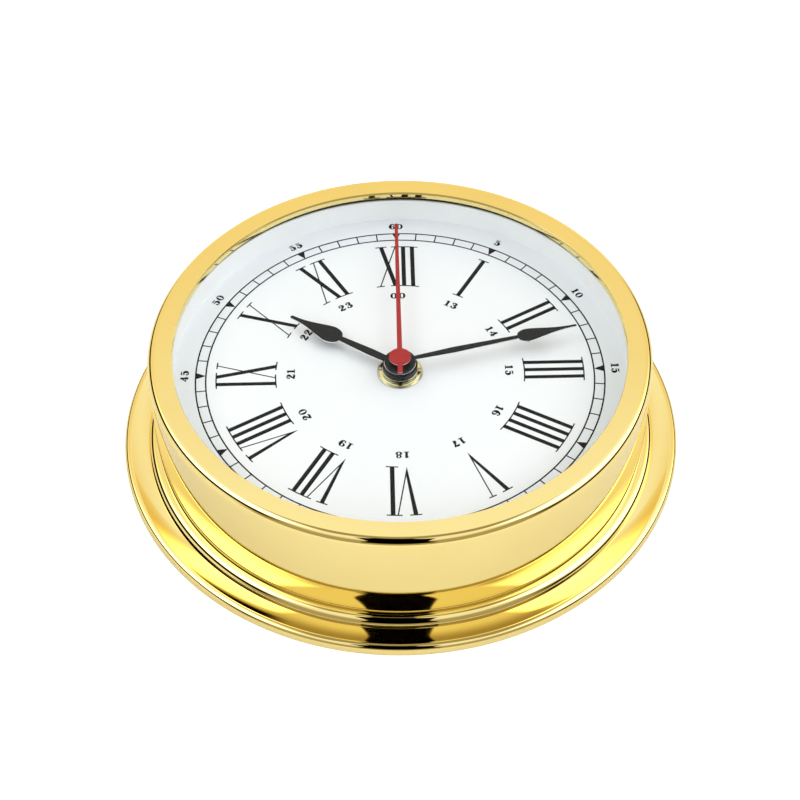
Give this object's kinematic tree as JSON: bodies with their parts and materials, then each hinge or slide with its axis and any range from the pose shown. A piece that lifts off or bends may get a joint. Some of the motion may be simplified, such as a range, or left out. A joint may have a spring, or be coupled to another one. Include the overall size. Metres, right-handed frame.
{
  "type": "ships deck clock",
  "caption": "Round wall clock with a wide flanged brass case, a screwed glazed bezel, a quartz movement and a bayonet wall plate.",
  "frame": {"origin": "centre of the back face that lies against the wall", "axes": "+Z out of the dial towards the reader, +Y towards 12 o'clock, +X towards 3 o'clock"},
  "size_m": [0.17, 0.17, 0.0378],
  "materials": {
    "brass_polished": "mirror polished, lacquered",
    "brass_nut": "turned, bright",
    "steel": "plated steel",
    "steel_spring": "spring steel",
    "glass": "flat mineral glass",
    "rubber": "black, matt",
    "rehaut_white": "satin white",
    "dial_white": "white lacquer with black print",
    "hand_black": "black satin lacquer",
    "hand_red": "red satin lacquer",
    "black_plastic": "moulded, fine texture",
    "nylon": "natural nylon",
    "magnet": "sintered magnet",
    "copper": "enamelled copper wire",
    "board": "glass fibre board",
    "can": "plated can",
    "epoxy": "cured epoxy",
    "cell_sleeve": "plain printed sleeve"
  },
  "bodies": {
    "wall_mount": {"wall_plate": "black_plastic"},
    "case": {"case_body": "brass_polished", "bayonet_ring": "steel", "ring_screws": "steel", "rehaut_ring": "rehaut_white", "dial": "dial_white", "centre_nut": "brass_nut", "nut_washer": "steel", "rubber_washer": "rubber", "housing_front": "black_plastic", "housing_back": "black_plastic", "movement_screws": "steel", "stator": "steel", "coil_core": "steel", "coil_bobbin": "nylon", "coil_winding": "copper", "circuit_board": "board", "crystal_can": "can", "chip_cover": "epoxy", "contact_positive": "steel_spring", "contact_negative": "steel_spring", "battery_cell": "cell_sleeve"},
    "glass_pack": {"glass": "glass", "glass_gasket": "rubber"},
    "bezel": {"bezel_ring": "brass_polished", "glass_retainer": "steel_spring"},
    "seconds": {"second_wheel": "nylon", "second_hand": "hand_red"},
    "rotor_arbor": {"rotor": "magnet"},
    "fifth_arbor": {"fifth_wheel": "nylon"},
    "third_arbor": {"third_wheel": "nylon"},
    "minutes": {"centre_wheel": "brass_nut", "minute_hand": "hand_black"},
    "motion_work": {"minute_work_wheel": "nylon"},
    "hours": {"hour_wheel": "nylon", "hour_hand": "hand_black"},
    "setting": {"set_knob": "black_plastic"}
  },
  "joints": [
    {"name": "bayonet_twist", "type": "hinge", "parent": "wall_mount", "child": "case", "pos_m": [0, 0, 0.002], "axis": [0, 0, -1], "range_deg": [0, 22]},
    {"name": "bezel_lift", "type": "slide", "parent": "case", "child": "glass_pack", "axis": [0, 0, 1], "range_m": [0, 0.0041]},
    {"name": "bezel_screw", "type": "hinge", "parent": "glass_pack", "child": "bezel", "pos_m": [0, 0, 0.02], "axis": [0, 0, 1], "range_deg": [0, 1440]},
    {"name": "seconds_turn", "type": "hinge", "parent": "case", "child": "seconds", "pos_m": [0, 0, 0.032], "axis": [0, 0, -1], "continuous": true},
    {"name": "rotor_turn", "type": "hinge", "parent": "case", "child": "rotor_arbor", "pos_m": [-0.01509, -0.00039, 0.013], "axis": [0, 0, -1], "continuous": true},
    {"name": "fifth_turn", "type": "hinge", "parent": "case", "child": "fifth_arbor", "pos_m": [-0.00945, 0.00167, 0.011], "axis": [0, 0, -1], "continuous": true},
    {"name": "third_turn", "type": "hinge", "parent": "case", "child": "third_arbor", "pos_m": [0.00886, -0.00156, 0.015], "axis": [0, 0, -1], "continuous": true},
    {"name": "minutes_turn", "type": "hinge", "parent": "case", "child": "minutes", "pos_m": [0, 0, 0.03], "axis": [0, 0, -1], "continuous": true},
    {"name": "motion_turn", "type": "hinge", "parent": "case", "child": "motion_work", "pos_m": [-0.00146, -0.00827, 0.019], "axis": [0, 0, -1], "continuous": true},
    {"name": "hours_turn", "type": "hinge", "parent": "case", "child": "hours", "pos_m": [0, 0, 0.028], "axis": [0, 0, -1], "continuous": true},
    {"name": "setting_turn", "type": "hinge", "parent": "case", "child": "setting", "pos_m": [0.00642, -0.01282, 0.012], "axis": [0, 0, -1], "continuous": true}
  ],
  "couplings": [
    {"joint": "bezel_lift", "follows": "bezel_screw", "m_per_rad": 0.00015915},
    {"joint": "rotor_turn", "follows": "seconds_turn", "ratio": 30},
    {"joint": "fifth_turn", "follows": "seconds_turn", "ratio": -6},
    {"joint": "third_turn", "follows": "seconds_turn", "ratio": -0.13333},
    {"joint": "minutes_turn", "follows": "seconds_turn", "ratio": 0.016667},
    {"joint": "motion_turn", "follows": "seconds_turn", "ratio": -0.0055556},
    {"joint": "hours_turn", "follows": "seconds_turn", "ratio": 0.0013889},
    {"joint": "setting_turn", "follows": "seconds_turn", "ratio": 0.0125}
  ]
}
